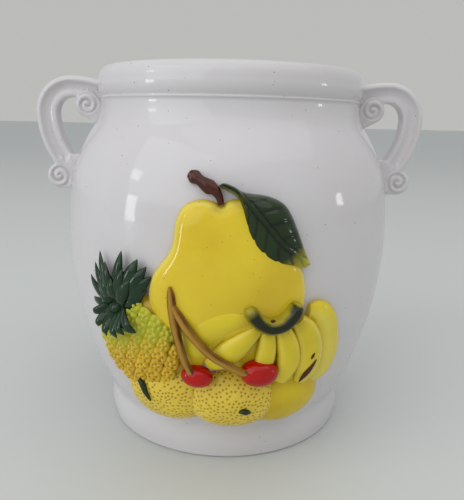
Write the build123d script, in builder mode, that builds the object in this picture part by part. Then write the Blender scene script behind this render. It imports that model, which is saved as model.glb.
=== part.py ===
from build123d import *
from math import cos, radians, sin, sqrt
import os

# Rumtopf pot: a bellied stoneware jar with scroll handles and a fruit relief on its front.
# Millimetres, +Z up. The origin is on the pot's axis at the level it stands on, and the
# relief looks along -Y.

# Wall of the pot: three tangent arcs, from the belly over the shoulder into the neck
belly_radius = 105.0
belly_height = 128.0
belly_arc = 234.0
shoulder_arc = 93.4
neck_arc = 28.2
shoulder_angle = 5.5
neck_angle = 34.7
wall_thickness = 6.0

# Foot ring
foot_radius = 79.8
foot_height = 19.5
foot_swell = 1.1
foot_round = 2.5
foot_ring = 9.0
foot_recess = 2.5
flare_height = 10.5
floor_thickness = 7.0
heel_height = 28.0

# Rolled rim
rim_overhang = 2.0
rim_height = 17.5
rim_round = 5.6
rim_inner_round = 2.0
rim_swell = 0.6
neck_straight = 2.0

# Scroll handles, told by the middle line of the strap
strap_thickness = 13.4
strap_width = 16.0
strap_corner = 3.2
strap_hollow = 0.9
handle_out = 20.2
handle_rise = 8.2
handle_bend = 16.7
handle_drop_arc = 51.3
handle_drop_angle = 31.4
handle_root_arc = 59.0
handle_root_angle = 24.3
upper_scroll_radius = 7.9
lower_scroll_radius = 8.3
upper_scroll_out = 10.1
upper_scroll_drop = 3.2
lower_scroll_out = 30.2
lower_scroll_drop = 49.4
scroll_width = 15.2
scroll_bevel = 1.8
scroll_web = 13.0
scroll_eye = 2.3
scroll_groove = 1.1
web_angle = 62.0
tail_share = 1.6

# Fruit relief: the band of wall that it covers, and how proud each fruit stands
relief_bottom = 26.0
relief_height = 148.0

pear_height = 72.0
pear_half_width = 43.0
pear_proud = 9.0
pear_lean = 3.3
pear_dip = 4.0
leaf_size = 39.4
leaf_proud = 11.5
leaf_depth = 26.0
leaf_half_length = 48.0
leaf_half_breadth = 30.0
twig_half_width = 3.9
twig_proud = 5.0
pineapple_half_length = 28.5
pineapple_half_breadth = 27.5
pineapple_depth = 14.0
pineapple_proud = 11.5
blade_half_width = 4.3
blade_lift = 3.0
blade_waist_share = 0.35
blade_taper_share = 0.35
crown_heart = 7.0
crown_heart_depth = 5.5
front_orange_half_length = 24.2
front_orange_half_breadth = 22.5
front_orange_depth = 15.0
front_orange_proud = 13.0
left_orange_half_length = 27.0
left_orange_half_breadth = 22.0
left_orange_depth = 14.0
left_orange_proud = 11.0
quince_half_length = 21.5
quince_half_breadth = 17.0
quince_depth = 12.0
quince_proud = 9.5
left_cherry_half_length = 8.2
left_cherry_half_breadth = 6.8
left_cherry_proud = 15.5
right_cherry_half_length = 9.8
right_cherry_half_breadth = 8.8
right_cherry_proud = 17.5
stalk_half_width = 2.1
stalk_proud = 13.5
stalk_underside = 3.0
banana_half_width = 8.4
banana_proud = 11.5
outer_banana_proud = 7.5
bar_half_width = 4.2
bar_proud = 16.0
stem_half_width = 1.5
stem_proud = 12.0
stem_underside = 3.0
stem_length_share = 2.2

os.makedirs("parts", exist_ok=True)


def polar(radius, angle):
    """Step of one length at an angle above level, as radius and height."""
    return Vector(radius * cos(radians(angle)), radius * sin(radians(angle)))


def upright(point, depth=0):
    """Point in space of a point given as reach and height, at a depth along Y."""
    return Vector(point.X, depth, point.Y)


# Centres and joints of the wall's arcs, in radius and height
belly_centre = Vector(belly_radius - belly_arc, belly_height)
shoulder_joint = belly_centre + polar(belly_arc, shoulder_angle)
shoulder_centre = shoulder_joint - polar(shoulder_arc, shoulder_angle)
neck_joint = shoulder_centre + polar(shoulder_arc, neck_angle)
neck_centre = neck_joint + polar(neck_arc, neck_angle)
neck_radius = neck_centre.X - neck_arc
neck_height = neck_centre.Y
rim_radius = neck_radius + rim_overhang
rim_base = neck_height + neck_straight
pot_height = rim_base + rim_height
mouth_radius = neck_radius - wall_thickness
flare_top = foot_height + flare_height
floor_top = foot_recess + floor_thickness


def wall_radius(height, inset=0):
    """Radius at a height of the outer wall, or of the face set in behind it."""
    if height <= shoulder_joint.Y:
        return belly_centre.X + sqrt((belly_arc - inset) ** 2 - (height - belly_height) ** 2)
    if height <= neck_joint.Y:
        reach = height - shoulder_centre.Y
        return shoulder_centre.X + sqrt((shoulder_arc - inset) ** 2 - reach**2)
    return neck_centre.X - sqrt((neck_arc + inset) ** 2 - (neck_height - height) ** 2)


def wall_plane(angle, height):
    """Plane that touches the wall: X goes round to the right, Y up and Z out of the wall."""
    radius = wall_radius(height)
    out = Vector(sin(radians(angle)), -cos(radians(angle)), 0)
    round_wall = Vector(cos(radians(angle)), sin(radians(angle)), 0)
    if height <= shoulder_joint.Y:
        rise = (height - belly_height) / (radius - belly_centre.X)
    elif height <= neck_joint.Y:
        rise = (height - shoulder_centre.Y) / (radius - shoulder_centre.X)
    else:
        rise = (neck_height - height) / (neck_centre.X - radius)
    origin = out * radius + Vector(0, 0, height)
    return Plane(origin=origin, x_dir=round_wall, z_dir=out + Vector(0, 0, rise))


def relief_plane(angle, share, lift=0, turn=0):
    """Plane on the wall at an angle round it and at a share of the relief's height."""
    place = wall_plane(angle, relief_bottom + share * relief_height)
    along = place.x_dir * cos(radians(turn)) + place.y_dir * sin(radians(turn))
    return Plane(origin=place.origin + place.z_dir * lift, x_dir=along, z_dir=place.z_dir)


def draw_wall(inset=0, bottom=flare_top):
    """Outline of the wall from its lowest height to the neck, inside a BuildLine."""
    start = Vector(wall_radius(bottom, inset), bottom)
    middle = (bottom + shoulder_joint.Y) / 2
    shoulder = belly_centre + polar(belly_arc - inset, shoulder_angle)
    shoulder_middle = (shoulder_angle + neck_angle) / 2
    neck = shoulder_centre + polar(shoulder_arc - inset, neck_angle)
    ThreePointArc(start, (wall_radius(middle, inset), middle), shoulder)
    ThreePointArc(shoulder, shoulder_centre + polar(shoulder_arc - inset, shoulder_middle), neck)
    turn = neck_centre - polar(neck_arc + inset, neck_angle / 2)
    ThreePointArc(neck, turn, (neck_radius - inset, neck_height))
    return start


def draw_outside():
    """Outside of the pot from the foot's edge to the top of the rim, inside a BuildLine."""
    heel = (foot_radius - foot_round, 0)
    heel_top = (foot_radius, foot_round)
    crease = (foot_radius, foot_height)
    heel_turn = Vector(foot_radius - foot_round, foot_round) + polar(foot_round, -45)
    ThreePointArc(heel, heel_turn, heel_top)
    ThreePointArc(heel_top, (foot_radius + foot_swell, (foot_round + foot_height) / 2), crease)
    start = draw_wall()
    lean = belly_height - flare_top
    TangentArc(start, crease, tangent=(-lean, -(start.X - belly_centre.X)))
    rim_low = (neck_radius, rim_base)
    rim_side = (rim_radius, pot_height - rim_round)
    rim_middle = (rim_base + pot_height - rim_round) / 2
    Line((neck_radius, neck_height), rim_low)
    ThreePointArc(rim_low, (neck_radius + rim_overhang / 2 + rim_swell, rim_middle), rim_side)
    rim_turn = Vector(rim_radius - rim_round, pot_height - rim_round) + polar(rim_round, 45)
    ThreePointArc(rim_side, rim_turn, (rim_radius - rim_round, pot_height))
    return heel


# Everything inside the outside of the pot, for cutting the pieces that lie on it
with BuildPart() as pot_blank:
    with BuildSketch(Plane.XZ):
        with BuildLine():
            heel = draw_outside()
            top = (rim_radius - rim_round, pot_height)
            Polyline(top, (0, pot_height), (0, 0), heel)
        make_face()
    revolve(axis=Axis.Z)

with BuildPart() as pot_body:
    with BuildSketch(Plane.XZ):
        with BuildLine():
            heel = draw_outside()
            top = (rim_radius - rim_round, pot_height)
            lip = (mouth_radius + rim_inner_round, pot_height)
            lip_centre = Vector(mouth_radius + rim_inner_round, pot_height - rim_inner_round)
            mouth_top = (mouth_radius, pot_height - rim_inner_round)
            Line(top, lip)
            ThreePointArc(lip, lip_centre + polar(rim_inner_round, 135), mouth_top)
            Line(mouth_top, (mouth_radius, neck_height))
            inner_heel = draw_wall(wall_thickness, heel_height)
            lean = (inner_heel.X - belly_centre.X) / (belly_arc - wall_thickness)
            floor_run = (heel_height - floor_top) / (lean / (1 + sqrt(1 - lean**2)))
            floor_edge = (inner_heel.X - floor_run, floor_top)
            TangentArc(floor_edge, inner_heel, tangent=(1, 0))
            ring = (foot_radius - foot_ring, 0)
            recess = (foot_radius - foot_ring - foot_recess, foot_recess)
            Polyline(floor_edge, (0, floor_top), (0, foot_recess), recess, ring, heel)
        make_face()
    revolve(axis=Axis.Z)
pot_body.part.label = "pot_body"


def scroll_disc(centre, radius):
    """Round end of a scroll with its axis along Y and an eye in both cheeks, for the open part."""
    half = scroll_width / 2
    seat = Plane(origin=(centre.X, 0, centre.Y), x_dir=(1, 0, 0), z_dir=(0, 0, 1))
    valley = scroll_eye + scroll_groove
    with BuildSketch(seat) as cheese:
        with BuildLine():
            Polyline(
                (0, 0), (0, half), (scroll_eye, half), (valley, half - scroll_groove),
                (valley + scroll_groove, half), (radius - scroll_bevel, half),
                (radius, half - scroll_bevel), (radius, 0),
            )
            mirror(about=Plane.XZ)
        make_face()
    revolve(cheese.sketch, axis=Axis(seat.origin, (0, 1, 0)))


with BuildPart() as right_handle:
    top_point = Vector(neck_radius + handle_out, neck_height + handle_rise)
    bend_centre = top_point - Vector(0, handle_bend)
    bend_point = bend_centre + Vector(handle_bend, 0)
    drop_centre = bend_point - Vector(handle_drop_arc, 0)
    drop_end = drop_centre + polar(handle_drop_arc, -handle_drop_angle)
    tail_end = drop_end - polar(strap_thickness * tail_share, 90 - handle_drop_angle)
    root_centre = top_point - Vector(0, handle_root_arc)
    root_end = root_centre + polar(handle_root_arc, 90 + handle_root_angle)
    root_turn = root_centre + polar(handle_root_arc, 90 + handle_root_angle / 2)
    bend_turn = bend_centre + polar(handle_bend, 45)
    drop_turn = drop_centre + polar(handle_drop_arc, -handle_drop_angle / 2)
    with BuildLine() as strap_line:
        ThreePointArc(upright(root_end), upright(root_turn), upright(top_point))
        ThreePointArc(upright(top_point), upright(bend_turn), upright(bend_point))
        ThreePointArc(upright(bend_point), upright(drop_turn), upright(drop_end))
        Line(upright(drop_end), upright(tail_end))
    strap_path = strap_line.wire()
    with BuildSketch(Plane(origin=strap_path @ 0, x_dir=(0, 1, 0), z_dir=strap_path % 0)):
        with BuildLine():
            half_thick = strap_thickness / 2
            outer_half = strap_width / 2
            inner_half = outer_half - strap_hollow
            outer = Vector(outer_half - strap_corner, half_thick - strap_corner)
            inner = Vector(inner_half - strap_corner, strap_corner - half_thick)
            waist = (inner_half - strap_hollow, (outer.Y + inner.Y) / 2)
            Line((0, half_thick), (outer.X, half_thick))
            ThreePointArc((outer.X, half_thick), outer + polar(strap_corner, 45), (outer_half, outer.Y))
            ThreePointArc((outer_half, outer.Y), waist, (inner_half, inner.Y))
            ThreePointArc((inner_half, inner.Y), inner + polar(strap_corner, -45), (inner.X, -half_thick))
            Line((inner.X, -half_thick), (0, -half_thick))
            mirror(about=Plane.YZ)
        make_face()
    sweep(path=strap_path)
    neck_side = Vector(neck_radius, neck_height)
    upper_scroll = neck_side + Vector(upper_scroll_out, -upper_scroll_drop)
    lower_scroll = neck_side + Vector(lower_scroll_out, -lower_scroll_drop)
    scroll_disc(upper_scroll, upper_scroll_radius)
    scroll_disc(lower_scroll, lower_scroll_radius)
    inside = neck_radius - wall_thickness / 2
    with BuildSketch(Plane.XZ):
        foot_way = polar(upper_scroll_radius, -web_angle)
        under = upper_scroll + foot_way
        slope = Vector(foot_way.Y, -foot_way.X)
        reach = (under.X - inside) / abs(slope.X)
        with BuildLine():
            Polyline(
                upper_scroll, (upper_scroll.X, top_point.Y), (inside, top_point.Y), under + slope * reach,
                under, close=True,
            )
        make_face()
    extrude(amount=scroll_web / 2, both=True)
    with BuildSketch(Plane.XZ):
        low_inside = lower_scroll.X - lower_scroll_radius * 2
        low_level = lower_scroll.Y - lower_scroll_radius
        with BuildLine():
            Polyline(
                lower_scroll, drop_end, (low_inside, drop_end.Y), (low_inside, low_level),
                (lower_scroll.X, low_level), close=True,
            )
        make_face()
    extrude(amount=scroll_web / 2, both=True)
    add(pot_blank.part, mode=Mode.SUBTRACT)
right_handle.part.label = "right_handle"

with BuildPart() as left_handle:
    mirror(right_handle.part, about=Plane.YZ)
left_handle.part.label = "left_handle"

# Ball of radius one, for the rounded fruits
with BuildPart() as unit_ball:
    with BuildSketch(Plane.XY):
        with BuildLine():
            CenterArc((0, 0), 1, 0, 90)
            CenterArc((0, 0), 1, 90, 90)
            Line((1, 0), (-1, 0))
        make_face()
    revolve(axis=Axis.X)


def pillow(place, half_length, half_breadth, half_depth, mode=Mode.ADD):
    """Ball stretched along the X, Y and Z of a place, put into the open part."""
    stretched = scale(unit_ball.part, by=(half_length, half_breadth, half_depth), mode=Mode.PRIVATE)
    with Locations(place):
        add(stretched, mode=mode)


def ellipsoid(place, half_length, half_breadth):
    """Round body with its long axis along the X of a place, for the open part."""
    with BuildSketch(place) as half:
        with BuildLine():
            EllipticalCenterArc((0, 0), half_length, half_breadth, start_angle=0, arc_size=90)
            EllipticalCenterArc((0, 0), half_length, half_breadth, start_angle=90, arc_size=90)
            Line((half_length, 0), (-half_length, 0))
        make_face()
    revolve(half.sketch, axis=Axis(place.origin, place.x_dir))


def wall_run(stations, half_width, proud, underside):
    """Body lofted through ellipses that stand across a route on the wall, for the open part.

    A station is an angle, a share of the relief's height, and shares of width and proudness.
    """
    places = []
    for angle, share, width_share, proud_share in stations:
        places.append(relief_plane(angle, share, (proud * proud_share + underside) / 2))
    sections = []
    for index, (angle, share, width_share, proud_share) in enumerate(stations):
        place = places[index]
        ahead = places[min(index + 1, len(places) - 1)].origin
        way = ahead - places[max(index - 1, 0)].origin
        way = way - place.z_dir * way.dot(place.z_dir)
        half_depth = (proud * proud_share - underside) / 2
        with BuildSketch(Plane(origin=place.origin, x_dir=place.z_dir, z_dir=way)) as section:
            Ellipse(half_depth, half_width * width_share)
        sections.append(section.sketch)
    loft(sections)


def blade(root, tip, half_width):
    """Pointed round body between the origins of two planes, widest near its root."""
    way = tip.origin - root.origin
    half = way.length / 2
    middle = (root.origin + tip.origin) / 2
    with BuildSketch(Plane(origin=middle, x_dir=way, z_dir=way.cross(root.z_dir))) as profile:
        with BuildLine():
            waist = (-half * blade_waist_share, half_width)
            Bezier((-half, 0), (-half, half_width), waist)
            Bezier(waist, (half * blade_taper_share, half_width), (half, 0))
            Line((half, 0), (-half, 0))
        make_face()
    revolve(profile.sketch, axis=Axis(middle, way))


def lay_on(*pieces):
    """Cuts the open part to lie on the wall and on the pieces below it."""
    add(pot_blank.part, mode=Mode.SUBTRACT)
    for piece in pieces:
        add(piece.part, mode=Mode.SUBTRACT)


# Pear: level sections whose widest points lie on the wall, from its base to its crown
pear_base_share = 0.42
pear_shares = [
    (0.00, 0.690, 0.75), (0.10, 0.845, 0.93), (0.20, 0.925, 1.00), (0.30, 0.970, 1.00),
    (0.38, 0.935, 1.00), (0.47, 0.835, 1.00), (0.55, 0.720, 0.96), (0.64, 0.610, 0.90),
    (0.74, 0.550, 0.86), (0.84, 0.525, 0.80), (0.92, 0.475, 0.68), (0.97, 0.385, 0.52),
    (1.00, 0.260, 0.32),
]
with BuildPart() as pear:
    pear_sections = []
    for height_share, width_share, proud_share in pear_shares:
        level = relief_bottom + pear_base_share * relief_height + height_share * pear_height
        half_width = pear_half_width * width_share
        depth = sqrt(wall_radius(level) ** 2 - half_width**2)
        reach = wall_radius(level) + pear_proud * proud_share - depth
        shift = -pear_lean * height_share
        with BuildSketch(Plane(origin=(shift, -depth, level))) as section:
            Ellipse(half_width, reach)
        pear_sections.append(section.sketch)
    loft(pear_sections)
    pear_top = relief_bottom + pear_base_share * relief_height + pear_height
    with Locations((-pear_lean, -wall_radius(pear_top), pear_top + pear_dip / 2)):
        Sphere(pear_dip, mode=Mode.SUBTRACT)
    lay_on()
pear.part.label = "pear"

with BuildPart() as pineapple_fruit:
    pineapple_place = relief_plane(-27.3, 0.358, pineapple_proud - pineapple_depth, 105)
    pillow(pineapple_place, pineapple_half_length, pineapple_half_breadth, pineapple_depth)
    lay_on(pear)
pineapple_fruit.part.label = "pineapple_fruit"

# Blades of the crown: root, tip, shares of width and how high the tip stands
blades = [
    (-34.2, 0.510, -40.1, 0.678, 0.95, 0.9), (-34.6, 0.507, -42.4, 0.632, 0.90, 0.9),
    (-35.0, 0.503, -45.6, 0.581, 0.90, 0.8), (-35.0, 0.498, -45.0, 0.508, 0.85, 1.0),
    (-32.8, 0.515, -31.2, 0.702, 1.10, 1.0), (-32.0, 0.515, -25.7, 0.687, 1.15, 1.1),
    (-31.4, 0.510, -22.6, 0.660, 1.05, 1.3), (-31.3, 0.508, -21.8, 0.625, 1.05, 1.4),
    (-31.5, 0.505, -22.4, 0.583, 0.95, 1.7), (-31.8, 0.502, -24.3, 0.535, 0.90, 2.2),
    (-34.8, 0.497, -38.4, 0.462, 0.75, 2.8), (-33.4, 0.495, -34.0, 0.440, 0.85, 3.6),
    (-32.4, 0.495, -29.8, 0.442, 0.90, 3.8), (-31.8, 0.498, -25.0, 0.450, 0.90, 3.8),
]
with BuildPart() as pineapple_crown:
    for root_angle, root_share, tip_angle, tip_share, width_share, lift_share in blades:
        root = relief_plane(root_angle, root_share, blade_lift * (1 + lift_share) / 2)
        tip = relief_plane(tip_angle, tip_share, blade_lift * lift_share)
        blade(root, tip, blade_half_width * width_share)
    pillow(relief_plane(-33, 0.508, blade_lift), crown_heart, crown_heart, crown_heart_depth)
    lay_on(pineapple_fruit, pear)
pineapple_crown.part.label = "pineapple_crown"

with BuildPart() as outer_banana:
    outer_stations = [
        (24.5, 0.545, 0.45, 0.60), (27.5, 0.520, 0.95, 0.90), (30.2, 0.468, 1.20, 1.00),
        (32.2, 0.392, 1.35, 1.00), (33.4, 0.312, 1.45, 1.00), (33.0, 0.245, 1.30, 0.90),
        (31.0, 0.197, 0.80, 0.60),
    ]
    wall_run(outer_stations, banana_half_width, outer_banana_proud, -outer_banana_proud)
    lay_on(pear)
outer_banana.part.label = "outer_banana"

# Bananas of the hand, from left to right, each from its root at the bar to its tip
hand = [
    [(6.0, 0.498, 0.50, 0.80), (2.4, 0.492, 0.75, 0.85), (-0.7, 0.483, 0.90, 0.85),
     (-4.1, 0.452, 1.00, 0.85), (-6.9, 0.412, 0.95, 0.80), (-8.4, 0.370, 0.80, 0.78),
     (-7.9, 0.329, 0.45, 0.62)],
    [(7.2, 0.462, 0.38, 1.00), (4.6, 0.428, 0.62, 1.05), (2.0, 0.394, 0.74, 1.05),
     (-0.8, 0.357, 0.72, 0.95), (-3.8, 0.329, 0.42, 0.72)],
    [(11.3, 0.455, 0.42, 0.95), (11.4, 0.406, 0.52, 0.98), (11.2, 0.358, 0.54, 0.98),
     (11.0, 0.318, 0.45, 0.85)],
    [(15.0, 0.470, 0.42, 1.00), (16.9, 0.418, 0.60, 1.06), (18.0, 0.369, 0.66, 1.08),
     (18.2, 0.319, 0.62, 1.05), (17.1, 0.273, 0.42, 0.85)],
    [(19.1, 0.495, 0.45, 0.95), (22.3, 0.449, 0.70, 1.00), (24.4, 0.395, 0.80, 1.00),
     (25.3, 0.339, 0.84, 1.00), (25.3, 0.288, 0.74, 0.95), (24.4, 0.246, 0.45, 0.75)],
]
bananas = []
for number, stations in enumerate(hand, start=1):
    with BuildPart() as banana:
        wall_run(stations, banana_half_width, banana_proud, -banana_proud)
        lay_on(pear, pineapple_fruit, outer_banana, *bananas)
    banana.part.label = f"banana_{number}"
    bananas.append(banana)

# Bar that the hand hangs from
with BuildPart() as banana_crown:
    bar_stations = [
        (5.4, 0.563, 0.50, 0.74), (6.6, 0.539, 0.95, 0.90), (8.6, 0.508, 1.00, 0.96),
        (11.5, 0.491, 1.05, 1.00), (14.8, 0.499, 1.02, 1.00), (17.2, 0.523, 1.00, 0.97),
        (18.7, 0.550, 0.92, 0.90), (19.4, 0.568, 0.50, 0.74),
    ]
    wall_run(bar_stations, bar_half_width, bar_proud, -bar_half_width)
    lay_on(pear, outer_banana, *bananas)
banana_crown.part.label = "banana_crown"

with BuildPart() as quince:
    quince_place = relief_plane(23.5, 0.122, quince_proud - quince_depth, 25)
    pillow(quince_place, quince_half_length, quince_half_breadth, quince_depth)
    lay_on(outer_banana, *bananas)
quince.part.label = "quince"

with BuildPart() as left_orange:
    left_place = relief_plane(-22, 0.132, left_orange_proud - left_orange_depth)
    pillow(left_place, left_orange_half_length, left_orange_half_breadth, left_orange_depth)
    lay_on(pineapple_fruit, *bananas)
left_orange.part.label = "left_orange"

with BuildPart() as front_orange:
    front_place = relief_plane(2.5, 0.138, front_orange_proud - front_orange_depth)
    pillow(front_place, front_orange_half_length, front_orange_half_breadth, front_orange_depth)
    lay_on(left_orange, quince, *bananas)
front_orange.part.label = "front_orange"

with BuildPart() as left_cherry:
    left_cherry_lift = left_cherry_proud - left_cherry_half_breadth
    left_cherry_place = relief_plane(-7.9, 0.299, left_cherry_lift, -8)
    ellipsoid(left_cherry_place, left_cherry_half_length, left_cherry_half_breadth)
    lay_on(pineapple_fruit, left_orange, front_orange, *bananas)
left_cherry.part.label = "left_cherry"

with BuildPart() as right_cherry:
    right_cherry_place = relief_plane(10.0, 0.316, right_cherry_proud - right_cherry_half_breadth)
    ellipsoid(right_cherry_place, right_cherry_half_length, right_cherry_half_breadth)
    lay_on(front_orange, quince, *bananas)
right_cherry.part.label = "right_cherry"

with BuildPart() as left_cherry_stalk:
    left_stalk_stations = [
        (-14.7, 0.622, 0.60, 0.72), (-14.5, 0.581, 1.10, 0.78), (-14.2, 0.527, 1.15, 0.80),
        (-13.5, 0.473, 1.05, 0.84), (-12.4, 0.419, 1.00, 0.90), (-11.0, 0.361, 0.95, 0.98),
        (-9.6, 0.322, 0.85, 1.02),
    ]
    wall_run(left_stalk_stations, stalk_half_width, stalk_proud, stalk_underside)
    lay_on(pear, pineapple_fruit, left_orange, left_cherry, *bananas)
left_cherry_stalk.part.label = "left_cherry_stalk"

with BuildPart() as right_cherry_stalk:
    right_stalk_stations = [
        (-14.0, 0.554, 0.80, 0.76), (-12.4, 0.517, 1.05, 0.80), (-10.0, 0.474, 1.10, 0.90),
        (-6.4, 0.422, 1.05, 1.03), (-2.8, 0.382, 1.00, 1.06), (1.2, 0.352, 0.95, 1.08),
        (4.4, 0.327, 0.90, 1.06), (6.2, 0.319, 0.80, 0.86),
    ]
    wall_run(right_stalk_stations, stalk_half_width, stalk_proud, stalk_underside)
    lay_on(pear, pineapple_fruit, left_cherry_stalk, front_orange, right_cherry, *bananas)
right_cherry_stalk.part.label = "right_cherry_stalk"

with BuildPart() as pear_twig:
    twig_stations = [
        (-10.8, 0.985, 0.55, 0.80), (-8.2, 0.968, 0.75, 0.95), (-5.6, 0.954, 1.00, 1.00),
        (-3.5, 0.940, 0.78, 0.95), (-2.4, 0.918, 0.50, 0.85), (-1.8, 0.897, 0.40, 0.80),
    ]
    wall_run(twig_stations, twig_half_width, twig_proud, -twig_proud)
    lay_on(pear)
pear_twig.part.label = "pear_twig"

# Leaf of the pear: its outline in shares of its own size, round a point on its midrib
leaf_upper_shares = [
    (-0.70, 0.53), (-0.61, 0.545), (-0.44, 0.455), (-0.16, 0.415), (0.06, 0.32),
    (0.245, 0.105), (0.33, -0.07), (0.50, -0.48),
]
leaf_lower_shares = [
    (0.50, -0.48), (0.30, -0.515), (-0.04, -0.465), (-0.28, -0.32), (-0.40, -0.05),
    (-0.45, 0.30), (-0.57, 0.44), (-0.66, 0.47),
]
with BuildPart() as pear_leaf:
    with BuildSketch(relief_plane(12.4, 0.814)) as leaf_outline:
        with BuildLine():
            Spline(*[(leaf_size * x, leaf_size * y) for x, y in leaf_upper_shares])
            Spline(*[(leaf_size * x, leaf_size * y) for x, y in leaf_lower_shares])
            stalk_end = [leaf_lower_shares[-1], leaf_upper_shares[0]]
            Line(*[(leaf_size * x, leaf_size * y) for x, y in stalk_end])
        make_face()
    extrude(leaf_outline.sketch, amount=leaf_size, both=True)
    leaf_dome = relief_plane(12.4, 0.814, leaf_proud - leaf_depth, -45)
    pillow(leaf_dome, leaf_half_length, leaf_half_breadth, leaf_depth, mode=Mode.INTERSECT)
    lay_on(pear, pear_twig)
pear_leaf.part.label = "pear_leaf"

with BuildPart() as left_orange_stem:
    left_stem_stations = [
        (-27.6, 0.228, 0.60, 0.80), (-26.2, 0.214, 1.20, 0.92), (-25.2, 0.187, 0.90, 1.00),
        (-23.9, 0.158, 0.45, 0.98),
    ]
    wall_run(left_stem_stations, stem_half_width, stem_proud, stem_underside)
    lay_on(left_orange, pineapple_fruit)
left_orange_stem.part.label = "left_orange_stem"

with BuildPart() as front_orange_stem:
    front_stem_place = relief_plane(6.4, 0.152, front_orange_proud)
    ellipsoid(front_stem_place, stem_length_share * stem_half_width, stem_half_width)
    lay_on(front_orange)
front_orange_stem.part.label = "front_orange_stem"

pieces = [
    pot_body, right_handle, left_handle, pear, pear_twig, pear_leaf, pineapple_fruit,
    pineapple_crown, outer_banana, *bananas, banana_crown, quince, left_orange, front_orange,
    left_orange_stem, front_orange_stem, left_cherry, right_cherry, left_cherry_stalk,
    right_cherry_stalk,
]
for piece in pieces:
    export_step(piece.part, f"parts/{piece.part.label}.step")
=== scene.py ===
from math import asin, atan2, cos, pi, radians, sin, sqrt

import bmesh
import bpy
from mathutils import Matrix, Vector, kdtree


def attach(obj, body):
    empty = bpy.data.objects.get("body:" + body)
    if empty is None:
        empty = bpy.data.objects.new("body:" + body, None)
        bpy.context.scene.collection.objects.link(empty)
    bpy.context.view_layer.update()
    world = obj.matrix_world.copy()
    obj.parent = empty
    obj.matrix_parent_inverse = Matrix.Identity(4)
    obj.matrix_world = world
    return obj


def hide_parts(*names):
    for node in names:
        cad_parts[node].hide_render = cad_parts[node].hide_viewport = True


# Rumtopf pot: a white glazed jar with scroll handles and a coloured fruit relief.
# Metres, +Z up. The relief looks along -Y, and angles go round the wall to the right from there.

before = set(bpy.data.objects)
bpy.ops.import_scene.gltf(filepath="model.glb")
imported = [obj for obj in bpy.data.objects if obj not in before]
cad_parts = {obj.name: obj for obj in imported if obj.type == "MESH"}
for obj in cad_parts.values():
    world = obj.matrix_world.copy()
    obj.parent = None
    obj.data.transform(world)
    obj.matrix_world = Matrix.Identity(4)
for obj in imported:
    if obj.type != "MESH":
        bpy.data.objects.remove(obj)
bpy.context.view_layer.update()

# Wall of the pot: belly, shoulder and neck arcs
belly_radius = 0.105
belly_height = 0.128
belly_arc = 0.234
shoulder_arc = 0.0934
neck_arc = 0.0282
shoulder_angle = radians(5.5)
neck_angle = radians(34.7)
wall_thickness = 0.006

# Foot and rim
foot_radius = 0.0798
foot_height = 0.0195
foot_swell = 0.0011
foot_round = 0.0025
foot_ring = 0.009
foot_recess = 0.0025
flare_height = 0.0105
floor_top = 0.0095
heel_height = 0.028
heel_round = 0.0185
rim_overhang = 0.002
rim_height = 0.0175
rim_round = 0.0056
rim_fall = 0.0092
rim_swell = 0.0004
lip_round = 0.002
bead = 0.0007
neck_straight = 0.002

# Handles
handle_out = 0.0202
handle_rise = 0.0082
handle_bend = 0.0167
handle_drop_arc = 0.0513
handle_drop_angle = radians(31.4)
handle_root_arc = 0.059
handle_root_angle = radians(24.3)

# Band of wall under the relief, how far its edges run into the wall, and how wide the band
# of pooled glaze and painted shade along those edges is
relief_bottom = 0.026
relief_height = 0.148
tuck = 0.0004
seam = 0.0014

belly_centre = Vector((belly_radius - belly_arc, belly_height))


def polar(radius, angle):
    """Step of one length at an angle above level, as reach and height."""
    return Vector((radius * cos(angle), radius * sin(angle)))


shoulder_joint = belly_centre + polar(belly_arc, shoulder_angle)
shoulder_centre = shoulder_joint - polar(shoulder_arc, shoulder_angle)
neck_joint = shoulder_centre + polar(shoulder_arc, neck_angle)
neck_centre = neck_joint + polar(neck_arc, neck_angle)
neck_radius = neck_centre.x - neck_arc
neck_height = neck_centre.y
rim_radius = neck_radius + rim_overhang
rim_base = neck_height + neck_straight
pot_height = rim_base + rim_height


def wall_radius(height, inset=0):
    """Radius of the outer wall at a height, or of the face set in behind it."""
    if height <= shoulder_joint.y:
        return belly_centre.x + sqrt((belly_arc - inset) ** 2 - (height - belly_height) ** 2)
    if height <= neck_joint.y:
        return shoulder_centre.x + sqrt((shoulder_arc - inset) ** 2 - (height - shoulder_centre.y) ** 2)
    return neck_centre.x - sqrt((neck_arc + inset) ** 2 - (neck_height - height) ** 2)


def wall_normal(angle, height):
    """Direction straight out of the wall."""
    radius = wall_radius(height)
    if height <= shoulder_joint.y:
        rise = (height - belly_height) / (radius - belly_centre.x)
    elif height <= neck_joint.y:
        rise = (height - shoulder_centre.y) / (radius - shoulder_centre.x)
    else:
        rise = (neck_height - height) / (neck_centre.x - radius)
    return Vector((sin(angle), -cos(angle), rise)).normalized()


def on_wall(angle, height, lift=0.0):
    """Point at an angle and height, standing proud of the wall by the lift."""
    radius = wall_radius(height)
    foot = Vector((radius * sin(angle), -radius * cos(angle), height))
    return foot + wall_normal(angle, height) * lift


def at_share(angle, share):
    """Angle in radians and height, from degrees and a share of the relief's height."""
    return radians(angle), relief_bottom + share * relief_height


# ---- finishes

def shade(red, green, blue):
    """Colour as the eye names it, turned into the shader's linear numbers."""
    linear = []
    for level in (red, green, blue):
        part = level / 255
        linear.append(part / 12.92 if part <= 0.04045 else ((part + 0.055) / 1.055) ** 2.4)
    return (*linear, 1)


def plug(tree, value, socket):
    """Gives a socket a value, or links it to an output that is given as a node and a name."""
    if isinstance(value, tuple) and isinstance(value[0], bpy.types.Node):
        tree.links.new(value[0].outputs[value[1]], socket)
    else:
        socket.default_value = value


def add_node(tree, kind, settings=None, **inputs):
    """Node of a tree, with its plain settings and its inputs, each a value or an output."""
    node = tree.nodes.new(kind)
    for key, value in (settings or {}).items():
        setattr(node, key, value)
    for key, value in inputs.items():
        plug(tree, value, node.inputs[key.replace("_", " ")])
    return node


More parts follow.
